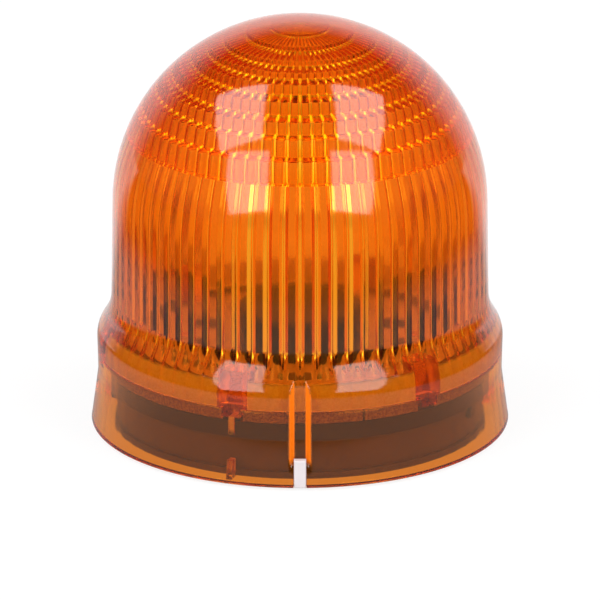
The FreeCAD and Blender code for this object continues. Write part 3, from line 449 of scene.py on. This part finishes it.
def lens_grid():
    """Radius and height of every row and column of the dome, and where its surface is dull.

    The profile is turned about the axis. Inside, each flute moves the surface out by its depth, in
    proportion to the radius, along the wall's normal. To the ribs' tips this falls to nothing along a
    hyperbola, and towards the skirt the ribs sink to a share of their height. A pillar's round face takes
    the wall's place up to its top, and lugs, tongues and ribs bring the collar in to their tips. Outside,
    the channel and the marker's notch limit the radius of the collar. The channel's sloped sides are dull,
    and what stands out inside and the skirt less so.
    """
    radius = np.repeat(profile[:, :1], columns.size, axis=1)
    height = np.repeat(profile[:, 1:], columns.size, axis=1)
    from_rib = np.abs((columns / flute_pitch + 0.5) % 1 - 0.5) * flute_pitch * bore_radius
    slope = np.hypot(np.minimum(from_rib, flute_rib_half), flute_rib_round) - flute_rib_round
    groove = flute_deep * slope / (np.hypot(flute_rib_half, flute_rib_round) - flute_rib_round)
    fluted = profile[flute_rows:]
    lean = np.maximum(fluted[:, 1] - dome_centre, 0) / bore_radius
    lean[len(wall):] = 0
    rib_share = np.interp(fluted[:, 1:], (flute_rib_sunk, flute_rib_full), (flute_rib_share, 1))
    depth = (fluted[:, :1] / bore_radius) * (flute_deep - rib_share * (flute_deep - groove))
    radius[flute_rows:] += depth * np.sqrt(1 - lean ** 2)[:, None]
    height[flute_rows:] += depth * lean[:, None]
    from_pillar = beside(pillar_bearings) * pillar_circle
    face = pillar_circle - np.sqrt(np.maximum(pillar_radius ** 2 - from_pillar ** 2, 0))
    pillared = (from_pillar <= pillar_radius + step / 2) & (fluted[:, 1:] <= pillar_high)
    radius[flute_rows:] = np.where(pillared, face, radius[flute_rows:])

    dull = np.zeros(radius.shape)
    dull[flute_rows:][fluted[:, 1] < root_height - bore_cove / 2] = skirt_dull
    dull[flute_rows:][pillared] = pillar_dull
    inner = slice(outer_rows, flute_rows)
    for bearings, half, low, high, tip in (
        (lug_bearings, lug_half, lug_low, lug_high, lug_tip),
        (rib_bearings, rib_half, lower_rib_low, lower_rib_low + rib_tall, lower_rib_tip),
        (rib_bearings, rib_half, upper_rib_low, upper_rib_low + rib_tall, upper_rib_tip),
        (pillar_bearings, tongue_half, tongue_low, skirt_height, tongue_tip),
    ):
        tall = (height[inner] > low - step / 2) & (height[inner] < high + step / 2)
        inwards = tall & (beside(bearings) * tip < half + step / 2)
        radius[inner][inwards] = tip
        dull[inner][inwards & (height[inner] > low + step)] = rib_dull if half == rib_half else pillar_dull

    aside = np.abs(np.sin(columns)) * lip_radius
    ahead = np.cos(columns) > 0
    share = np.clip((channel_mouth - aside) / (channel_mouth - channel_floor), 0, 1)
    limit = collar_line(height[:outer_rows], lip_radius) - channel_deep * share ** 2 * (3 - 2 * share)
    low = height[:outer_rows] < channel_low
    limit[low | (height[:outer_rows] > channel_high)] = foot_radius
    limit[:, (aside >= channel_mouth) | ~ahead] = foot_radius
    sloped = (share > channel_edge) & (share < 1 - channel_edge)
    dull[:outer_rows][(limit < radius[:outer_rows]) & sloped] = 1
    just_over = 1.001
    notched = low & (aside <= notch_half * lip_radius / foot_radius * just_over) & ahead
    limit[notched] = notch_back
    radius[:outer_rows] = np.minimum(radius[:outer_rows], limit)
    return radius, height, dull


def closed_mesh(name, radius, height, top, bottom, dull):
    """A mesh of a grid turned about the axis, with a pole over its first row and one over its last.

    Its attribute dull runs from 0 at gloss corners of the grid to 1 at dull ones.
    """
    count = columns.size
    grid = np.stack((radius * np.sin(columns), -radius * np.cos(columns), height), axis=-1).reshape(-1, 3)
    points = np.vstack((grid, (0, 0, top), (0, 0, bottom)))
    first = np.arange(count)
    following = (first + 1) % count
    lines = (np.arange(len(radius) - 1) * count)[:, None]
    below = lines + count
    quads = np.stack((lines + first, below + first, below + following, lines + following), axis=-1)
    last = (len(radius) - 1) * count
    crown = np.column_stack((np.full(count, len(grid)), first, following))
    floor = np.column_stack((last + first, np.full(count, len(grid) + 1), last + following))
    mesh = bpy.data.meshes.new(name)
    mesh.from_pydata(points, [], quads.reshape(-1, 4).tolist() + crown.tolist() + floor.tolist())
    mesh.polygons.foreach_set("use_smooth", np.ones(len(mesh.polygons), dtype=bool))
    mesh.attributes.new("dull", "FLOAT", "POINT").data.foreach_set("value", np.append(dull.ravel(), (0, 0)))
    mesh.set_sharp_from_angle(angle=crease_angle)
    mesh.update()
    return mesh


# Clear amber all through: gloss reflections over orange that deepens with the length of the light's way
amber, amber_tree, amber_shader, amber_place = finish("amber_polycarbonate_gloss", {
    "Base Color": linear("#FFB666"), "Transmission Weight": 1.0, "IOR": 1.585})
depth_colour = (0.995, 0.91, 0.4, 1.0)
depth_density = 1000.0
haze_size = 6 * MM
grain_size = 0.3 * MM
deepen = add(amber_tree, "VolumeAbsorption", {"Color": depth_colour, "Density": depth_density})
haze = add(amber_tree, "TexNoise", {"Vector": amber_place, "Scale": 1 / haze_size, "Detail": 5.0})
haze_spread = add(amber_tree, "MapRange", {"Value": haze.outputs["Fac"], "From Min": 0.35, "From Max": 0.75,
                                           "To Min": 0.07, "To Max": 0.11})
feed(amber_shader, {"Roughness": haze_spread.outputs["Result"]})
# Where the tool was left eroded, the face scatters the light and glows evenly: orange on the sides of the
# channel, and straw-coloured in itself on the inside, where the amber in front of it adds the rest
grain = add(amber_tree, "TexNoise", {"Vector": amber_place, "Scale": 1 / grain_size, "Detail": 2.0})
outer_colour = add(amber_tree, "MixRGB", {"Fac": grain.outputs["Fac"], "Color1": linear("#D65C02"),
                                          "Color2": linear("#E87A10")})
inner_colour = add(amber_tree, "MixRGB", {"Fac": grain.outputs["Fac"], "Color1": linear("#E9C27A"),
                                          "Color2": linear("#FFF0C8")})
level_place = add(amber_tree, "VectorMath", {0: amber_place, 1: (1.0, 1.0, 0.0)}, operation="MULTIPLY")
from_axis = add(amber_tree, "VectorMath", {0: level_place.outputs["Vector"]}, operation="LENGTH")
grain_colour = add(amber_tree, "MixRGB", {
    "Fac": maths(amber_tree, "LESS_THAN", from_axis.outputs["Value"], waist_radius - channel_deep - step),
    "Color1": outer_colour.outputs["Color"], "Color2": inner_colour.outputs["Color"]})
eroded = add(amber_tree, "BsdfPrincipled", {"Base Color": grain_colour.outputs["Color"], "Roughness": 0.5,
                                            "Specular IOR Level": 0.1})
dull_place = add(amber_tree, "Attribute", {}, attribute_name="dull").outputs["Fac"]
face = add(amber_tree, "MixShader", {0: dull_place, 1: amber_shader.outputs["BSDF"],
                                     2: eroded.outputs["BSDF"]})
feed(amber_tree.nodes["Material Output"], {"Surface": face.outputs["Shader"],
                                           "Volume": deepen.outputs["Volume"]})
lens_radius, lens_height, lens_dull = lens_grid()
lens_mesh = closed_mesh("dome_lens", lens_radius, lens_height, dome_centre + dome_radius, tier_heights[-1],
                        lens_dull)
lens_mesh.materials.append(amber)
lens = bpy.data.objects.new("dome_lens", lens_mesh)
bpy.context.scene.collection.objects.link(lens)
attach(lens, "dome")
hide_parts("lens_dome")

# Index marker: a plug of white nylon, injection moulded.
# It sits in the notch at the foot of the channel.

# Nylon is a soft, slightly warm white with a satin face
nylon_scatter = (0.6 * MM, 0.5 * MM, 0.5 * MM)
nylon_white = wear_finish("white_nylon_moulded", ("#CFC8CA", "#C2BCBE"), (0.42, 0.55), 0.3 * MM, 0.006 * MM,
                          {"IOR": 1.53, "Subsurface Weight": 0.1, "Subsurface Radius": nylon_scatter})
dress(nylon_white, "index_marker")

# Studio: a floor of white paper, a white surround, two soft panels overhead and two in front, and the camera.
# Gloss faces mirror only the lit parts of the paper and the surround.
floor_half = 3.0
floor_level = -0.05 * MM
floor_mesh = bpy.data.meshes.new("studio_floor")
floor_corners = np.array([(-1, -1, 0), (1, -1, 0), (1, 1, 0), (-1, 1, 0)]) * floor_half
floor_mesh.from_pydata(floor_corners + (0, 0, floor_level), [], [(0, 1, 2, 3)])
studio_floor = bpy.data.objects.new("studio_floor", floor_mesh)
bpy.context.scene.collection.objects.link(studio_floor)
paper, paper_tree, paper_shader, paper_place = finish("white_paper_sweep", {
    "Base Color": linear("#F4F4F4"), "Roughness": 0.9})
path = add(paper_tree, "LightPath", {})
paper_reach = add(paper_tree, "VectorMath", {0: paper_place}, operation="LENGTH").outputs["Value"]
# Seen through the amber, the paper is dimmer under the object and close to its foot
shade_edge = 34 * MM
shade_end = 60 * MM
shade_light = 0.7
beyond_foot = add(paper_tree, "MapRange", {"Value": paper_reach, "From Min": shade_edge,
                                           "From Max": shade_end, "To Min": shade_light})
seen = maths(paper_tree, "MAXIMUM", path.outputs["Is Camera Ray"], maths(
    paper_tree, "MULTIPLY", path.outputs["Is Transmission Ray"], beyond_foot.outputs["Result"]))
side_share = 0.6


def backwards(tree, way):
    """How far a place or direction is towards the back, less a share of how far it is to the side."""
    parts = add(tree, "SeparateXYZ", {"Vector": way})
    aside = maths(tree, "MULTIPLY", maths(tree, "ABSOLUTE", parts.outputs["X"]), side_share)
    return maths(tree, "SUBTRACT", parts.outputs["Y"], aside)


# Mirrored in the gloss, the paper is lit behind the object and close to it, and dark elsewhere
dark_light = 0.02
near_light = 0.45
near_edge = 110 * MM
near_end = 135 * MM
lit_end = 50 * MM
lit_paper = add(paper_tree, "MapRange", {"Value": backwards(paper_tree, paper_place), "From Min": 0.0,
                                         "From Max": lit_end, "To Min": dark_light})
near_paper = add(paper_tree, "MapRange", {"Value": paper_reach, "From Min": near_edge, "From Max": near_end,
                                          "To Min": near_light, "To Max": dark_light})
mirrored = maths(paper_tree, "MULTIPLY", path.outputs["Is Glossy Ray"], maths(
    paper_tree, "MAXIMUM", lit_paper.outputs["Result"], near_paper.outputs["Result"]))
# The paper under the collar, seen through the amber, is lit through it too
plain_light = maths(paper_tree, "MAXIMUM", path.outputs["Is Camera Ray"], maths(
    paper_tree, "GREATER_THAN", paper_reach, foot_radius))
paper_light = add(paper_tree, "MixRGB", {"Fac": plain_light, "Color1": linear("#F9CE7C"),
                                         "Color2": (1.0, 1.0, 1.0, 1.0)})
glow = add(paper_tree, "Emission", {"Color": paper_light.outputs["Color"],
                                    "Strength": maths(paper_tree, "MAXIMUM", seen, mirrored)})
# Part of the seen paper stays plain, so that it keeps the object's shadow
glow_share = 0.85
glowing = maths(paper_tree, "MAXIMUM", maths(paper_tree, "MULTIPLY", seen, glow_share),
                path.outputs["Is Glossy Ray"])
blend = add(paper_tree, "MixShader", {0: glowing, 1: paper_shader.outputs["BSDF"],
                                      2: glow.outputs["Emission"]})
# The sheet is seen from above only, so that views from below show the underside of the object
one_sided = add(paper_tree, "MixShader", {
    0: add(paper_tree, "NewGeometry", {}).outputs["Backfacing"], 1: blend.outputs["Shader"],
    2: add(paper_tree, "BsdfTransparent", {}).outputs["BSDF"]})
feed(paper_tree.nodes["Material Output"], {"Surface": one_sided.outputs["Shader"]})
floor_mesh.materials.append(paper)

world = bpy.data.worlds.new("white_surround")
bpy.context.scene.world = world
world.use_nodes = True
sky = world.node_tree
sky_path = add(sky, "LightPath", {})
sky_place = add(sky, "TexCoord", {}).outputs["Generated"]
sky_way = add(sky, "SeparateXYZ", {"Vector": sky_place})
behind = add(sky, "MapRange", {"Value": backwards(sky, sky_place), "From Min": 0.0, "From Max": 0.4})
low_down = add(sky, "MapRange", {"Value": sky_way.outputs["Z"], "From Min": 0.6, "From Max": 0.3})
backdrop = maths(sky, "MULTIPLY", behind.outputs["Result"], low_down.outputs["Result"])
side_light = 0.06
to_the_side = add(sky, "MapRange", {"Value": maths(sky, "ABSOLUTE", sky_way.outputs["X"]), "From Min": 0.6,
                                    "From Max": 0.95, "To Min": dark_light, "To Max": side_light})
# Through the amber, the room in front is a little dimmer than the backdrop
room_light = 0.8
room = add(sky, "MapRange", {"Value": sky_way.outputs["Y"], "From Min": -0.4, "From Max": 0.1,
                             "To Min": room_light})
sky_seen = maths(sky, "MAXIMUM", sky_path.outputs["Is Camera Ray"], maths(
    sky, "MULTIPLY", sky_path.outputs["Is Transmission Ray"], room.outputs["Result"]))
sky_mirrored = maths(sky, "MULTIPLY", sky_path.outputs["Is Glossy Ray"], maths(
    sky, "MAXIMUM", backdrop, to_the_side.outputs["Result"]))
ambient_light = 0.7
ambient = maths(sky, "MULTIPLY", sky_path.outputs["Is Diffuse Ray"], ambient_light)
feed(sky.nodes["Background"], {"Color": (1.0, 1.0, 1.0, 1.0), "Strength": maths(
    sky, "MAXIMUM", maths(sky, "MAXIMUM", sky_seen, sky_mirrored), ambient)})

# Panels: each is given by its level, the way to it, the way of its length, its width and length, and its glow
panel_distance = 1.0
panel_diffuse = 0.35
for side, side_name in ((-1, "left"), (1, "right")):
    for level, towards, long_way, width, length, panel_glow in (
        ("upper", (0.527, -0.156, 0.835), (0.12, 0.69, 0.19), 0.47, 0.67, 4.0),
        ("lower", (0.529, -0.727, 0.437), (0.02, 0.32, 0.55), 0.45, 0.64, 3.5),
    ):
        lamp = bpy.data.lights.new(f"panel_{level}_{side_name}", "AREA")
        lamp.shape = "RECTANGLE"
        lamp.size = width
        lamp.size_y = length
        lamp.energy = panel_glow * np.pi * width * length
        lamp.diffuse_factor = panel_diffuse
        out = Vector((side * towards[0], *towards[1:])).normalized()
        along = Vector((side * -long_way[0], *long_way[1:]))
        along = (along - along.dot(out) * out).normalized()
        panel = bpy.data.objects.new(lamp.name, lamp)
        axes = Matrix((along.cross(out), along, out)).transposed().to_4x4()
        panel.matrix_world = Matrix.Translation(Vector((0, 0, dome_centre)) + panel_distance * out) @ axes
        bpy.context.scene.collection.objects.link(panel)

camera_height = 350 * MM
camera_back = 949 * MM
aim_height = 20.6 * MM
camera_lens = bpy.data.cameras.new("camera")
camera_lens.lens = 362.8
camera_lens.sensor_width = 36.0
camera = bpy.data.objects.new("camera", camera_lens)
camera.location = (0, -camera_back, camera_height)
camera.rotation_euler = (np.pi / 2 - np.arctan2(camera_height - aim_height, camera_back), 0, 0)
bpy.context.scene.collection.objects.link(camera)
bpy.context.scene.camera = camera

scene = bpy.context.scene
scene.view_settings.view_transform = "Standard"
scene.cycles.max_bounces = 24
scene.cycles.transmission_bounces = 24
scene.cycles.glossy_bounces = 12
scene.cycles.use_denoising = True
